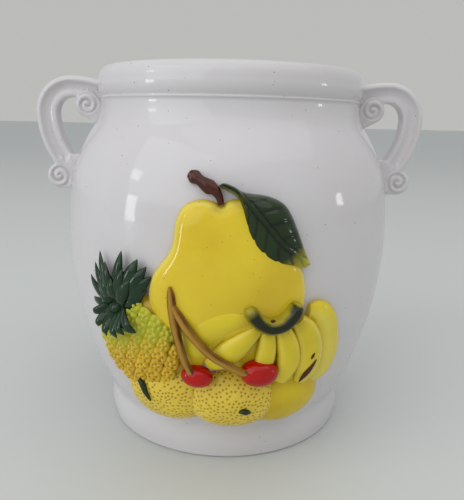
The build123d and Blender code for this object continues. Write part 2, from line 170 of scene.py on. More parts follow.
def add_math(tree, operation, first, second, clamp=False):
    """Sum, product or comparison of two numbers."""
    node = add_node(tree, "ShaderNodeMath", {"operation": operation, "use_clamp": clamp})
    plug(tree, first, node.inputs[0])
    plug(tree, second, node.inputs[1])
    return node, "Value"


def blend(tree, share, below, above):
    """Mix of two colours by a share."""
    mix = add_node(tree, "ShaderNodeMix", {"data_type": "RGBA"}, Factor=share)
    plug(tree, below, mix.inputs[6])
    plug(tree, above, mix.inputs[7])
    return mix, 2


def add_specks(tree, place, colour, speck):
    """Colour with sparse round specks, given by their colour, their number to a metre and size."""
    speck_colour, speck_scale, speck_size = speck
    cells = add_node(tree, "ShaderNodeTexVoronoi", Vector=place, Scale=speck_scale)
    near = add_node(tree, "ShaderNodeMapRange", Value=(cells, "Distance"),
                    From_Min=speck_size, From_Max=speck_size * 0.4)
    chosen = add_math(tree, "GREATER_THAN", (cells, "Color"), 0.62)
    share = add_math(tree, "MULTIPLY", (near, "Result"), chosen)
    return blend(tree, share, colour, shade(*speck_colour))


def glaze(name, colour, deep_and_shade, drift=0.35, drift_size=45, roughness=0.12, speck=None, wave=0.25,
          thin=None):
    """Glossy glaze, deep in hollows where it pools and where shade is painted, thin where it drew back."""
    finish = bpy.data.materials.new(name)
    finish["slot"] = name
    finish.use_nodes = True
    tree = finish.node_tree
    shader = tree.nodes["Principled BSDF"]
    shader.inputs["Roughness"].default_value = roughness
    shader.inputs["IOR"].default_value = 1.52
    shader.inputs["Specular IOR Level"].default_value = 0.32
    place = (add_node(tree, "ShaderNodeTexCoord"), "Object")
    clouds = add_node(tree, "ShaderNodeTexNoise", Vector=place, Scale=drift_size, Detail=4)
    spread = add_node(tree, "ShaderNodeMapRange", Value=(clouds, "Fac"), From_Min=0.35, From_Max=0.75,
                      To_Max=drift)
    # Share of pooled glaze and painted shade written on each mesh, added to the random drift of tone
    pool = add_node(tree, "ShaderNodeAttribute", {"attribute_name": "pool"})
    depth = add_math(tree, "ADD", (spread, "Result"), (pool, "Fac"), clamp=True)
    result = blend(tree, depth, shade(*colour), shade(*deep_and_shade))
    if thin:
        bare = add_node(tree, "ShaderNodeAttribute", {"attribute_name": "bare"})
        result = blend(tree, (bare, "Fac"), result, shade(*thin))
    if speck:
        result = add_specks(tree, place, result, speck)
    plug(tree, result, shader.inputs["Base Color"])
    ripple = add_node(tree, "ShaderNodeTexNoise", Vector=place, Scale=90, Detail=1)
    bump = add_node(tree, "ShaderNodeBump", Strength=wave, Distance=0.0006, Height=(ripple, "Fac"))
    plug(tree, (bump, "Normal"), shader.inputs["Normal"])
    return finish


pin_speck = ((120, 104, 92), 210, 0.09)
fruit_speck = ((120, 92, 20), 420, 0.12)
white_glaze = glaze("white_glaze", (214, 211, 213), (203, 198, 198), 0.5, 14, 0.07, pin_speck, 0.1)
pear_glaze = glaze("pear_glaze", (232, 205, 50), (206, 172, 34), 0.7, 28, 0.09, fruit_speck,
                   thin=(236, 226, 120))
twig_glaze = glaze("twig_glaze", (78, 32, 18), (42, 18, 10), 0.5, 200)
leaf_glaze = glaze("leaf_glaze", (34, 54, 18), (12, 22, 6), 0.4, 70, 0.1, thin=(176, 170, 44))
pineapple_glaze = glaze("pineapple_glaze", (222, 186, 44), (136, 88, 12), 0.25, 90, 0.14,
                        thin=(188, 188, 50))
crown_glaze = glaze("crown_glaze", (26, 58, 30), (8, 22, 10), 0.6, 90, 0.08, thin=(140, 150, 50))
banana_glaze = glaze("banana_glaze", (228, 206, 46), (172, 148, 20), 0.35, 40, 0.1, thin=(234, 222, 112))
bar_glaze = glaze("banana_crown_glaze", (164, 150, 38), (28, 34, 8), 0.15, 120, 0.1)
quince_glaze = glaze("quince_glaze", (218, 192, 34), (186, 152, 16), 0.6, 50)
orange_glaze = glaze("orange_glaze", (234, 206, 72), (150, 106, 26), 0.15, 60, 0.12)
cherry_glaze = glaze("cherry_glaze", (182, 14, 6), (120, 4, 4), 0.3, 80, 0.06)
stalk_glaze = glaze("stalk_glaze", (166, 120, 36), (78, 42, 12), 0.3, 160, thin=(186, 146, 48))


# ---- building tools

def add_object(name, data):
    """New object of the scene."""
    thing = bpy.data.objects.new(name, data)
    bpy.context.scene.collection.objects.link(thing)
    return thing


def new_mesh(name, points, edges=(), faces=()):
    """Mesh of points, with the edges or faces between them."""
    mesh = bpy.data.meshes.new(name)
    mesh.from_pydata([tuple(point) for point in points], edges, faces)
    return mesh


def plain_mesh(thing):
    """Mesh that an object's modifiers make of it. The object itself goes."""
    view = bpy.context.evaluated_depsgraph_get()
    mesh = bpy.data.meshes.new_from_object(thing.evaluated_get(view))
    bpy.data.objects.remove(thing)
    return mesh


def keep(name, mesh, finish, *nodes):
    """Makes a mesh one piece of the pot that stands for the solids named."""
    piece = add_object(name, mesh)
    mesh.materials.clear()
    mesh.materials.append(finish)
    mesh.polygons.foreach_set("use_smooth", [True] * len(mesh.polygons))
    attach(piece, "root")
    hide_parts(*nodes)


def paint(mesh, **marks):
    """Writes at each point how deep the glaze pools (pool) and how thin it lies (bare)."""
    for label, levels in marks.items():
        mark = mesh.attributes.get(label) or mesh.attributes.new(label, "FLOAT", "POINT")
        mark.data.foreach_set("value", levels)
    return mesh


def ring_mesh(name, rings, closed_top=True, **marks):
    """Skin over rings of points, each ring closed, with end caps that meet in a point."""
    points = [point for ring in rings for point in ring]
    painted = {label: [level for ring in levels for level in ring] for label, levels in marks.items()}
    count = len(rings[0])
    faces = []
    for row in range(len(rings) - 1):
        for column in range(count):
            after = (column + 1) % count
            faces.append((
                row * count + column, row * count + after,
                (row + 1) * count + after, (row + 1) * count + column,
            ))
    for row in (0, len(rings) - 1) if closed_top else (0,):
        points.append(sum((Vector(point) for point in rings[row]), Vector()) / count)
        for label, levels in marks.items():
            painted[label].append(sum(levels[row]) / count)
        for column in range(count):
            edge = (row * count + column, row * count + (column + 1) % count)
            faces.append((edge[1], edge[0], len(points) - 1) if row == 0 else (*edge, len(points) - 1))
    return paint(new_mesh(name, points, faces=faces), **painted)


def curve_through(knots, steps, closed=False):
    """Smooth run of points through knots, by Catmull and Rom's rule."""
    run = []
    count = len(knots)
    spans = count if closed else count - 1
    for index in range(spans):
        if closed:
            near = [Vector(knots[(index + shift) % count]) for shift in (-1, 0, 1, 2)]
        else:
            near = [Vector(knots[min(max(index + shift, 0), count - 1)]) for shift in (-1, 0, 1, 2)]
        for step in range(steps):
            t = step / steps
            run.append(0.5 * (
                2 * near[1] + (near[2] - near[0]) * t
                + (2 * near[0] - 5 * near[1] + 4 * near[2] - near[3]) * t**2
                + (3 * near[1] - near[0] - 3 * near[2] + near[3]) * t**3
            ))
    if not closed:
        run.append(Vector(knots[-1]))
    return run


def arc(centre, radius, start, end, steps):
    """Points along an arc in reach and height."""
    return [centre + polar(radius, start + (end - start) * step / steps) for step in range(steps + 1)]


# ---- the pot's body

def side_up(start, end, steps, radius):
    """Points up a side between two heights, with a rule for the radius at each share of the way."""
    shares = [step / steps for step in range(1, steps + 1)]
    return [Vector((radius(share), start + (end - start) * share)) for share in shares]


def quarter(centre, out, up, steps):
    """Quarter of an oval, from beside its centre to above it, or to below it where up is negative."""
    turns = [pi / 2 * step / steps for step in range(1, steps + 1)]
    return [centre + Vector((out * cos(turn), up * sin(turn))) for turn in turns]


def pot_outline():
    """Outline of the pot, from the middle of its underside up the outside and down the inside."""
    flare_top = foot_height + flare_height
    flare_end = wall_radius(flare_top)
    lean = (belly_height - flare_top) / (flare_end - belly_centre.x)
    rim_side = pot_height - rim_fall
    mouth = neck_radius - wall_thickness
    pole = 0.0004

    def foot_side(share):
        return foot_radius + foot_swell * sin(pi * share)

    def flare(share):
        wall = flare_end - lean * flare_height * (1 - share)
        ease = (1 - share) ** 2.4
        return wall * (1 - ease) + foot_radius * ease

    def neck_bead(share):
        return neck_radius + bead * sin(pi * share)

    def rim_band(share):
        return neck_radius + rim_overhang * sin(pi / 2 * share) ** 0.7 + rim_swell * sin(pi * share)

    outline = [
        Vector((pole, foot_recess)), Vector((0.04, foot_recess)),
        Vector((foot_radius - foot_ring - foot_recess, foot_recess)), Vector((foot_radius - foot_ring, 0)),
    ]
    outline += arc(Vector((foot_radius - foot_round, foot_round)), foot_round, -pi / 2, 0, 8)
    outline += side_up(foot_round, foot_height, 8, foot_side)
    outline += side_up(foot_height, flare_top, 10, flare)
    low = asin((flare_top - belly_height) / belly_arc)
    outline += arc(belly_centre, belly_arc, low, shoulder_angle, 44)[1:]
    outline += arc(shoulder_centre, shoulder_arc, shoulder_angle, neck_angle, 16)[1:]
    outline += arc(neck_centre, neck_arc, neck_angle + pi, pi, 12)[1:]
    outline += side_up(neck_height, rim_base, 6, neck_bead)
    outline += side_up(rim_base, rim_side, 12, rim_band)
    outline += quarter(Vector((rim_radius - rim_round, rim_side)), rim_round, rim_fall, 12)
    outline += arc(Vector((mouth + lip_round, pot_height - lip_round)), lip_round, pi / 2, pi, 6)
    outline += [Vector((mouth, rim_base)), Vector((mouth, neck_height))]
    outline += arc(neck_centre, neck_arc + wall_thickness, pi, neck_angle + pi, 10)[1:]
    outline += arc(shoulder_centre, shoulder_arc - wall_thickness, neck_angle, shoulder_angle, 10)[1:]
    inner_low = asin((heel_height - belly_height) / (belly_arc - wall_thickness))
    outline += arc(belly_centre, belly_arc - wall_thickness, shoulder_angle, inner_low, 30)[1:]
    heel_centre = Vector((outline[-1].x - heel_round, heel_height))
    outline += quarter(heel_centre, heel_round, floor_top - heel_height, 8)
    outline += [Vector((0.03, floor_top)), Vector((pole, floor_top))]
    return outline


def make_pot():
    """Turned body of the pot."""
    turns = 288
    outline = pot_outline()
    rings = []
    for point in outline:
        rings.append([
            (point.x * cos(2 * pi * turn / turns), point.x * sin(2 * pi * turn / turns), point.y)
            for turn in range(turns)
        ])
    mesh = ring_mesh("pot_wall", rings)
    keep("pot_wall", mesh, white_glaze, "pot_body")


# ---- pillows: fruits laid on the wall inside an outline

def near_tree(points):
    """Finds the nearest of a run of points."""
    tree = kdtree.KDTree(len(points))
    for index, point in enumerate(points):
        tree.insert(point, index)
    tree.balance()
    return tree


def pillow_mesh(name, centre, knots, proud, border, crown, rows=44, dent=None, bare=None):
    """Rounded skin over an outline on the wall, given by steps round and up from its centre."""
    angle, height = centre
    corners = [(x, y, 0) for x, y in knots]
    outline = curve_through(corners, 16, closed=True)
    winding = sum(near.cross(far).z for near, far in zip(outline, outline[1:] + outline[:1]))
    if winding > 0:
        outline.reverse()
    edge = near_tree(curve_through(corners, 96, closed=True))
    slope = wall_normal(0, height).xy.length
    reach_x = max(abs(x) for x, y in knots)
    reach_y = max(abs(y) for x, y in knots)
    rings, pool_and_shade_levels, bares = [], [], []
    for row in range(1, rows + 1):
        share = sin(pi / 2 * row / rows)
        ring, pool_and_shade_ring, bare_ring = [], [], []
        for point in outline:
            spot = point * share
            gap = edge.find(spot)[2] if row < rows else 0
            shoulder = 1 - min(gap / border, 1)
            dome = max(0, 1 - (spot.x / reach_x) ** 2 - (spot.y / reach_y) ** 2) ** 1.2
            swell = (1 - crown) * sqrt(max(0, 1 - shoulder**2.4)) + crown * dome
            lift = proud * swell - tuck * (row == rows)
            if dent:
                lift += dent(spot.x, spot.y, lift)
            level = height + spot.y * slope
            ring.append(on_wall(angle + spot.x / wall_radius(level), level, lift))
            # Pooled glaze and painted shade in a narrow band along the edge where the piece meets the wall
            pool_and_shade_ring.append(0.5 * max(0, 1 - gap / seam) ** 1.5)
            bare_ring.append(bare(spot.x, spot.y, gap) if bare else 0)
        rings.append(ring)
        pool_and_shade_levels.append(pool_and_shade_ring)
        bares.append(bare_ring)
    return ring_mesh(name, rings, closed_top=False, pool=pool_and_shade_levels, bare=bares)


def pillow(name, centre, knots, proud, border, finish, node, dent=None, crown=0.25, bare=None):
    """Pillow that stands for a solid."""
    mesh = pillow_mesh(name, centre, knots, proud, border, crown, dent=dent, bare=bare)
    keep(name, mesh, finish, node)


def from_wall(centre, shares):
    """Steps round and up from a centre, of places given in degrees and shares of the relief."""
    angle, height = centre
    slope = wall_normal(0, height).xy.length
    knots = []
    for degree, share in shares:
        turn, level = at_share(degree, share)
        knots.append(((turn - angle) * wall_radius(level), (level - height) / slope))
    return knots


def oval(half_length, half_breadth, turn=0, power=2.2, count=28):
    """Knots of an oval, turned anticlockwise, a little squarer than an ellipse."""
    knots = []
    for index in range(count):
        way = 2 * pi * index / count
        x = half_length * abs(cos(way)) ** (2 / power) * (1 if cos(way) >= 0 else -1)
        y = half_breadth * abs(sin(way)) ** (2 / power) * (1 if sin(way) >= 0 else -1)
        knots.append((x * cos(turn) - y * sin(turn), x * sin(turn) + y * cos(turn)))
    return knots


pear_outline_shares = [
    (-1.9, 0.893), (-4.8, 0.907), (-8.4, 0.909), (-11.9, 0.892), (-13.7, 0.865), (-14.8, 0.825),
    (-15.1, 0.780), (-15.7, 0.742), (-17.2, 0.708), (-19.5, 0.672), (-21.5, 0.635), (-22.7, 0.594),
    (-23.0, 0.556), (-22.4, 0.515), (-20.0, 0.460), (-14.0, 0.418), (-5.0, 0.400), (5.0, 0.400),
    (14.0, 0.418), (20.0, 0.460), (22.6, 0.515), (23.2, 0.565), (22.9, 0.612), (22.0, 0.655),
    (20.3, 0.692), (17.6, 0.722), (14.8, 0.760), (12.9, 0.810), (11.6, 0.858), (8.6, 0.896),
    (4.6, 0.911), (1.2, 0.912), (-0.7, 0.904),
]


pear_proud = 0.009
pear_border = 0.011
twig_dent_reach = 0.006


def make_pear():
    """Pear, with the dent that its twig grows from."""
    centre = at_share(-0.3, 0.590)
    knots = from_wall(centre, pear_outline_shares)
    dent_place = from_wall(centre, [(-1.9, 0.893)])[0]

    def twig_dent(x, y, lift):
        away = sqrt((x - dent_place[0]) ** 2 + (y - dent_place[1]) ** 2)
        return -0.85 * lift * max(0, 1 - away / twig_dent_reach) ** 2

    def thin_edge(x, y, gap):
        return 0.55 * max(0, 1 - abs(gap - 0.0022) / 0.0018)

    pillow("pear_body", centre, knots, pear_proud, pear_border, pear_glaze, "pear", twig_dent, 0.3,
           thin_edge)


# ---- runs: bodies that follow a path over the wall

def read_attribute(tree, name, kind):
    """Value of an attribute of the points."""
    return add_node(tree, "GeometryNodeInputNamedAttribute", {"data_type": kind}, Name=name), "Attribute"


def open_tree(name, inputs):
    """New tree of nodes with a mesh in, a mesh out and named inputs between."""
    tree = bpy.data.node_groups.new(name, "GeometryNodeTree")
    tree.interface.new_socket("Geometry", in_out="INPUT", socket_type="NodeSocketGeometry")
    for label, kind in inputs:
        tree.interface.new_socket(label, in_out="INPUT", socket_type=kind)
    tree.interface.new_socket("Finish", in_out="INPUT", socket_type="NodeSocketMaterial")
    tree.interface.new_socket("Geometry", in_out="OUTPUT", socket_type="NodeSocketGeometry")
    return tree, add_node(tree, "NodeGroupInput")


def close_tree(tree, source, last):
    """Ends a tree: real geometry and the finish."""
    real = add_node(tree, "GeometryNodeRealizeInstances", Geometry=last)
    dress = add_node(tree, "GeometryNodeSetMaterial", Geometry=(real, "Geometry"),
                     Material=(source, "Finish"))
    add_node(tree, "NodeGroupOutput", Geometry=(dress, "Geometry"))
    return tree


section_points = 28
least_width = 0.0001


def run_tree():
    """Tree that sweeps a flattened round section along paths laid on the wall."""
    tree, source = open_tree("run_on_wall", [("Depth Share", "NodeSocketFloat")])
    path = add_node(tree, "GeometryNodeMeshToCurve", Mesh=(source, "Geometry"))
    width = read_attribute(tree, "half_width", "FLOAT")
    out_way = read_attribute(tree, "out_way", "FLOAT_VECTOR")
    normal = add_node(tree, "GeometryNodeSetCurveNormal", {"mode": "FREE"},
                      Curve=(path, "Curve"), Normal=out_way)
    section = add_node(tree, "GeometryNodeCurvePrimitiveCircle", {"mode": "RADIUS"},
                       Resolution=section_points, Radius=1.0)
    size = add_node(tree, "ShaderNodeCombineXYZ", X=(source, "Depth Share"), Y=1, Z=1)
    flat = add_node(tree, "GeometryNodeTransform", Geometry=(section, "Curve"), Scale=(size, "Vector"))
    skin = add_node(tree, "GeometryNodeCurveToMesh", Curve=(normal, "Curve"),
                    Profile_Curve=(flat, "Geometry"), Fill_Caps=True, Scale=width)
    return close_tree(tree, source, (skin, "Mesh"))


def grow(name, base, tree, inputs):
    """Runs a tree on a base mesh and gives the plain mesh that it makes."""
    holder = add_object(name, base)
    modifier = holder.modifiers.new("grow", "NODES")
    modifier.node_group = tree
    for item in tree.interface.items_tree:
        if item.in_out == "INPUT" and item.name in inputs:
            modifier[item.identifier] = inputs[item.name]
    mesh = plain_mesh(holder)
    mesh.name = name
    return mesh


runs = run_tree()


def run_paths(name, paths, depth_share, finish, steps=8, rule=None):
    """Sweeps along one or more paths, each of stations: angle, share, half width and middle's lift.

    A rule gives the share of pooled glaze and painted shade and the thin share of glaze from how far
    to the side of the path a point lies, how far along it is, and how much it looks down.
    """
    points, edges, widths, normals, alongs = [], [], [], [], []
    for path in paths:
        stations = curve_through(path, steps)
        start = len(points)
        for index, (angle, share, width, lift) in enumerate(stations):
            spot = at_share(angle, share)
            points.append(on_wall(*spot, lift))
            widths.append(max(width, least_width))
            normals.append(wall_normal(*spot))
            alongs.append(index / (len(stations) - 1))
            if index:
                edges.append((start + index - 1, start + index))
    base = new_mesh(name, points, edges)
    base.attributes.new("half_width", "FLOAT", "POINT").data.foreach_set("value", widths)
    base.attributes.new("out_way", "FLOAT_VECTOR", "POINT").data.foreach_set(
        "vector", [level for normal in normals for level in normal])
    mesh = grow(name, base, runs, {"Depth Share": depth_share, "Finish": finish})
    if not rule:
        return mesh
    tree = near_tree(points)
    pool_and_shade_levels, bares = [], []
    for first in range(0, len(mesh.vertices), section_points):
        ring = [vertex.co for vertex in mesh.vertices[first:first + section_points]]
        place = tree.find(sum(ring, Vector()) / len(ring))[1]
        for point in ring:
            step = point - points[place]
            out = step.dot(normals[place]) / (widths[place] * depth_share)
            side = sqrt(max(0, 1 - min(1, abs(out)) ** 2))
            down = -step.z / max(step.length, least_width / 10)
            pool, bare = rule(side, alongs[place], down)
            pool_and_shade_levels.append(max(0, min(1, pool)))
            bares.append(max(0, min(1, bare)))
    return paint(mesh, pool=pool_and_shade_levels, bare=bares)


def banana_rule(side, along, down):
    """Olive pooled glaze and painted shade beside the banana and at its root, and a pale ridge along its
    shoulders.
    """
    pool = max(0, (side - 0.90) / 0.10) * 0.7 + 0.45 * max(0, 1 - along / 0.16)
    return pool, 0.75 * max(0, 1 - abs(side - 0.72) / 0.13)


def outer_rule(side, along, down):
    """Pale middle of the outer banana, with edges darkened by pooled glaze and painted shade."""
    return max(0, (side - 0.85) / 0.15) * 0.5, 0.5 * max(0, 1 - side / 0.7)


def bar_rule(side, along, down):
    """Dark band along the front of the bar, which fades out before its ends."""
    ends = max(0, min(1, (along - 0.06) / 0.12, (0.97 - along) / 0.06))
    return ends * max(0, min(1, (down + 0.50) / 0.25, (0.50 - down) / 0.25)), 0


def stalk_rule(side, along, down):
    """Dark streaks down the sides of a stalk over painted shade and pooled glaze on its flanks, with glaze
    drawn thin off its crest.
    """
    return max(0, 1 - abs(side - 0.8) / 0.4) * (0.3 + 0.7 * sin(along * 8) ** 2), max(0, 0.5 - side)


def blade_rule(side, along, down):
    """Painted shade and pooled glaze in the hollows between the blades of the crown."""
    return 0.6 * max(0, (side - 0.7) / 0.3), 0


# ---- camera, floor and lights

def make_camera():
    """Camera at the photograph's place and angle."""
    pitch, roll, pan = radians(13.27), radians(1.288), radians(0.488)
    ahead = Vector((sin(pan) * cos(pitch), cos(pan) * cos(pitch), -sin(pitch)))
    level = Vector((cos(pan), -sin(pan), 0))
    above = level.cross(ahead)
    right = level * cos(roll) + above * sin(roll)
    up = above * cos(roll) - level * sin(roll)
    camera_data = bpy.data.cameras.new("camera")
    focal_pixels, picture_height = 550.2, 500
    camera_data.lens = focal_pixels * camera_data.sensor_width / picture_height
    camera_data.clip_start = 0.01
    camera = add_object("camera", camera_data)
    turned = Matrix((right, up, -ahead)).transposed().to_4x4()
    camera.matrix_world = Matrix.Translation((0, -0.3756, 0.1996)) @ turned
    bpy.context.scene.camera = camera


def add_window(name, place, aim, size, power, tint=(1, 1, 1)):
    """Soft oblong lamp that shows in the glaze as a window does."""
    lamp_data = bpy.data.lights.new(name, "AREA")
    lamp_data.shape = "RECTANGLE"
    lamp_data.size, lamp_data.size_y = size
    lamp_data.energy = power
    lamp_data.color = tint
    lamp = add_object(name, lamp_data)
    lamp.location = place
    lamp.rotation_euler = (Vector(aim) - Vector(place)).to_track_quat("-Z", "Y").to_euler()


def make_floor():
    """Plain pale floor that the pot stands on."""
    reach = 20.0
    corners = [(-reach, -reach, 0), (reach, -reach, 0), (reach, reach, 0), (-reach, reach, 0)]
    mesh = new_mesh("floor", corners, faces=[(0, 1, 2, 3)])
    finish = bpy.data.materials.new("floor")
    finish.use_nodes = True
    shader = finish.node_tree.nodes["Principled BSDF"]
    shader.inputs["Base Color"].default_value = shade(208, 211, 208)
    shader.inputs["Roughness"].default_value = 0.55
    mesh.materials.append(finish)
    floor = add_object("floor", mesh)


def make_world():
    """Soft pale surround: one level lights the pot, and another is what the camera sees."""
    world = bpy.data.worlds.new("surround")
    world.use_nodes = True
    tree = world.node_tree
    light = tree.nodes["Background"]
    light.inputs["Color"].default_value = (0.96, 0.98, 1, 1)
    light.inputs["Strength"].default_value = 0.55
    seen = add_node(tree, "ShaderNodeBackground", Color=(0.50, 0.50, 0.485, 1))
    ray = add_node(tree, "ShaderNodeLightPath")
    either = add_node(tree, "ShaderNodeMixShader", Fac=(ray, "Is Camera Ray"))
    plug(tree, (light, "Background"), either.inputs[1])
    plug(tree, (seen, "Background"), either.inputs[2])
    plug(tree, (either, "Shader"), tree.nodes["World Output"].inputs["Surface"])
    bpy.context.scene.world = world


make_camera()
make_floor()
make_world()
add_window("left_window", (-2.0, -0.84, 0.28), (0, 0, 0.14), (0.30, 0.50), 3.3, (0.92, 0.97, 1))
add_window("left_door", (-1.92, -0.72, 1.0), (0, 0, 0.18), (0.30, 0.22), 0.8, (0.95, 0.98, 1))
add_window("right_window", (2.1, -0.36, 0.45), (0, 0, 0.14), (0.20, 0.24), 1.2, (1, 0.97, 0.92))
add_window("front_left", (-1.5, -1.4, 1.3), (0, 0, 0.12), (2.2, 1.8), 15.0, (0.98, 0.99, 1))
add_window("overhead", (0.3, -0.5, 1.8), (0, 0, 0.1), (2.4, 2.0), 11.0, (1, 0.98, 0.95))

bpy.context.scene.view_settings.view_transform = "Standard"

make_pot()
make_pear()

# Runs: half width, how proud the crest stands, and depth of the section for its width
banana_half_width = 0.0084
banana_proud = 0.0115
banana_depth_share = 0.72
outer_proud = 0.0075
outer_depth_share = 0.5
bar_half_width = 0.0042
bar_proud = 0.0157
bar_depth_share = 1.5
stalk_half_width = 0.0021
stalk_proud = 0.0135
twig_half_width = 0.0039
twig_proud = 0.005
twig_depth_share = 0.8
stem_half_width = 0.0015
left_stem_proud = 0.012
front_stem_proud = 0.013
mark_half_width = 0.0012
mark_proud = 0.0118
bar_pit_half_width = 0.001
bar_pit_proud = 0.0152

# Stations of the runs: degrees, share of the relief's height, shares of width and proudness
hand_shares = [
    [(6.4, 0.508, 0.50, 0.80), (2.4, 0.508, 0.90, 0.86), (-0.9, 0.496, 1.22, 0.86),
     (-4.5, 0.462, 1.34, 0.86), (-7.3, 0.414, 1.26, 0.80), (-8.8, 0.362, 1.00, 0.76),
     (-8.2, 0.315, 0.55, 0.60)],
    [(9.6, 0.482, 0.30, 0.80), (5.2, 0.437, 0.66, 1.04), (2.2, 0.398, 0.86, 1.04),
     (-0.9, 0.358, 0.86, 0.95), (-4.8, 0.322, 0.46, 0.72)],
    [(11.4, 0.462, 0.46, 0.95), (11.5, 0.406, 0.62, 0.98), (11.3, 0.358, 0.66, 0.98),
     (11.0, 0.300, 0.55, 0.85)],
    [(15.4, 0.474, 0.50, 1.00), (17.1, 0.420, 0.70, 1.06), (18.2, 0.369, 0.78, 1.08),
     (18.4, 0.319, 0.76, 1.05), (17.1, 0.254, 0.50, 0.85)],
    [(19.6, 0.500, 0.50, 0.95), (22.7, 0.452, 0.82, 1.00), (24.8, 0.395, 0.94, 1.00),
     (25.7, 0.339, 0.98, 1.00), (25.6, 0.284, 0.88, 0.95), (24.4, 0.232, 0.50, 0.75)],
]
outer_shares = [
    (24.5, 0.505, 0.55, 0.60), (27.5, 0.497, 0.95, 0.90), (30.0, 0.455, 1.15, 1.00),
    (31.8, 0.385, 1.28, 1.00), (32.8, 0.312, 1.36, 1.00), (32.4, 0.248, 1.25, 0.90),
    (30.6, 0.200, 0.80, 0.60),
]
bar_shares = [
    (5.6, 0.560, 0.50, 0.74), (6.4, 0.540, 0.92, 0.90), (8.5, 0.507, 1.00, 0.97),
    (11.5, 0.489, 1.05, 1.00), (14.8, 0.497, 1.05, 1.00), (17.2, 0.521, 1.00, 0.97),
    (18.6, 0.548, 0.92, 0.90), (19.2, 0.566, 0.50, 0.74),
]
left_stalk_shares = [
    (-14.7, 0.618, 0.35, 0.72), (-14.5, 0.585, 1.00, 0.78), (-14.2, 0.527, 1.15, 0.80),
    (-13.5, 0.473, 1.10, 0.86), (-12.4, 0.419, 1.05, 0.93), (-11.0, 0.361, 1.00, 1.02),
    (-9.3, 0.318, 0.85, 1.08),
]
right_stalk_shares = [
    (-14.3, 0.560, 0.60, 0.76), (-12.4, 0.517, 1.10, 0.84), (-10.0, 0.474, 1.15, 0.94),
    (-6.4, 0.422, 1.10, 1.03), (-2.8, 0.382, 1.05, 1.08), (1.2, 0.352, 1.00, 1.10),
    (4.6, 0.328, 0.95, 1.10), (6.0, 0.320, 0.80, 1.02),
]
twig_shares = [
    (-11.2, 0.990, 0.55, 0.80), (-9.8, 0.981, 0.95, 0.95), (-8.2, 0.970, 0.72, 0.95),
    (-6.4, 0.957, 0.90, 1.00), (-5.2, 0.949, 0.98, 1.00), (-3.7, 0.938, 0.70, 0.98),
    (-2.5, 0.918, 0.50, 0.92), (-1.9, 0.893, 0.40, 0.75),
]
left_stem_shares = [
    (-27.6, 0.230, 0.60, 0.88), (-26.2, 0.214, 1.20, 1.00), (-25.2, 0.187, 0.90, 1.06),
    (-23.9, 0.156, 0.30, 1.02),
]
front_stem_shares = [
    (4.6, 0.150, 0.40, 1.05), (5.6, 0.157, 1.00, 1.16), (7.0, 0.152, 1.05, 1.14),
    (8.2, 0.143, 0.40, 1.00),
]


def on_top(stations, half_width, proud, depth_share):
    """Stations for a run whose crest stands as proud as asked."""
    path = []
    for angle, share, width_share, proud_share in stations:
        width = half_width * width_share
        path.append((angle, share, width, proud * proud_share - width * depth_share))
    return path


def make_run(name, stations, half_width, proud, depth_share, finish, node, rule=None):
    """Run that stands for one solid."""
    path = on_top(stations, half_width, proud, depth_share)
    mesh = run_paths(name, [path], depth_share, finish, rule=rule)
    keep(name, mesh, finish, node)


def make_bed():
    """Low ground between the bananas of the hand, darkened all over by pooled glaze and painted shade."""
    centre = at_share(11.0, 0.38)
    knots = from_wall(centre, [
        (-8.0, 0.34), (-7.5, 0.42), (-2.0, 0.47), (8.0, 0.50), (18.0, 0.50), (23.0, 0.46),
        (27.0, 0.40), (28.5, 0.32), (28.0, 0.24), (22.0, 0.22), (16.0, 0.23), (8.0, 0.27), (0.0, 0.30),
        (-5.0, 0.31),
    ])
    mesh = pillow_mesh("hand_bed", centre, knots, proud=0.0062, border=0.004, crown=0.1)
    # Painted shade and pooled glaze over the whole bed
    paint(mesh, pool=[0.25] * len(mesh.vertices))
    keep("hand_bed", mesh, banana_glaze, "banana_3")


make_bed()

for number, stations in enumerate(hand_shares, start=1):
    make_run(f"hand_banana_{number}", stations, banana_half_width, banana_proud,
             banana_depth_share, banana_glaze, f"banana_{number}", banana_rule)
make_run("outer_fruit", outer_shares, banana_half_width, outer_proud, outer_depth_share,
         banana_glaze, "outer_banana", outer_rule)
make_run("hand_bar", bar_shares, bar_half_width, bar_proud, bar_depth_share, bar_glaze, "banana_crown",
         bar_rule)
for side, stations in (("left", left_stalk_shares), ("right", right_stalk_shares)):
    make_run(f"{side}_stalk", stations, stalk_half_width, stalk_proud, 1.0, stalk_glaze,
             f"{side}_cherry_stalk", stalk_rule)
make_run("twig", twig_shares, twig_half_width, twig_proud, twig_depth_share, twig_glaze, "pear_twig")
make_run("left_stem", left_stem_shares, stem_half_width, left_stem_proud, 1.0, leaf_glaze,
         "left_orange_stem")
make_run("front_stem", front_stem_shares, stem_half_width, front_stem_proud, 1.0, leaf_glaze,
         "front_orange_stem")

# Brown marks of the ripe bananas, painted thick
mark_shares = [
    [(26.5, 0.345, 0.15, 1.02), (25.6, 0.318, 1.00, 1.04), (24.3, 0.286, 1.25, 1.02),
     (22.9, 0.248, 0.30, 0.86)],
    [(25.6, 0.374, 0.15, 1.00), (25.1, 0.362, 0.70, 1.04), (24.7, 0.350, 0.20, 1.02)],
]
bar_pit_shares = [(10.9, 0.526, 0.40, 0.98), (11.5, 0.524, 1.00, 1.0), (12.1, 0.526, 0.40, 0.98)]
for number, stations in enumerate(mark_shares, start=1):
    make_run(f"ripe_mark_{number}", stations, mark_half_width, mark_proud, twig_depth_share, twig_glaze,
             "banana_5")
make_run("bar_pit", bar_pit_shares, bar_pit_half_width, bar_pit_proud, twig_depth_share, twig_glaze,
         "banana_crown")


# ---- round fruits

quince_half_length = 0.022
quince_half_breadth = 0.018
quince_proud = 0.0095
border_share = 0.85

pillow("lower_fruit", at_share(22.3, 0.128), oval(quince_half_length, quince_half_breadth, radians(25)),
       quince_proud, quince_half_breadth * border_share, quince_glaze, "quince", crown=0.3)


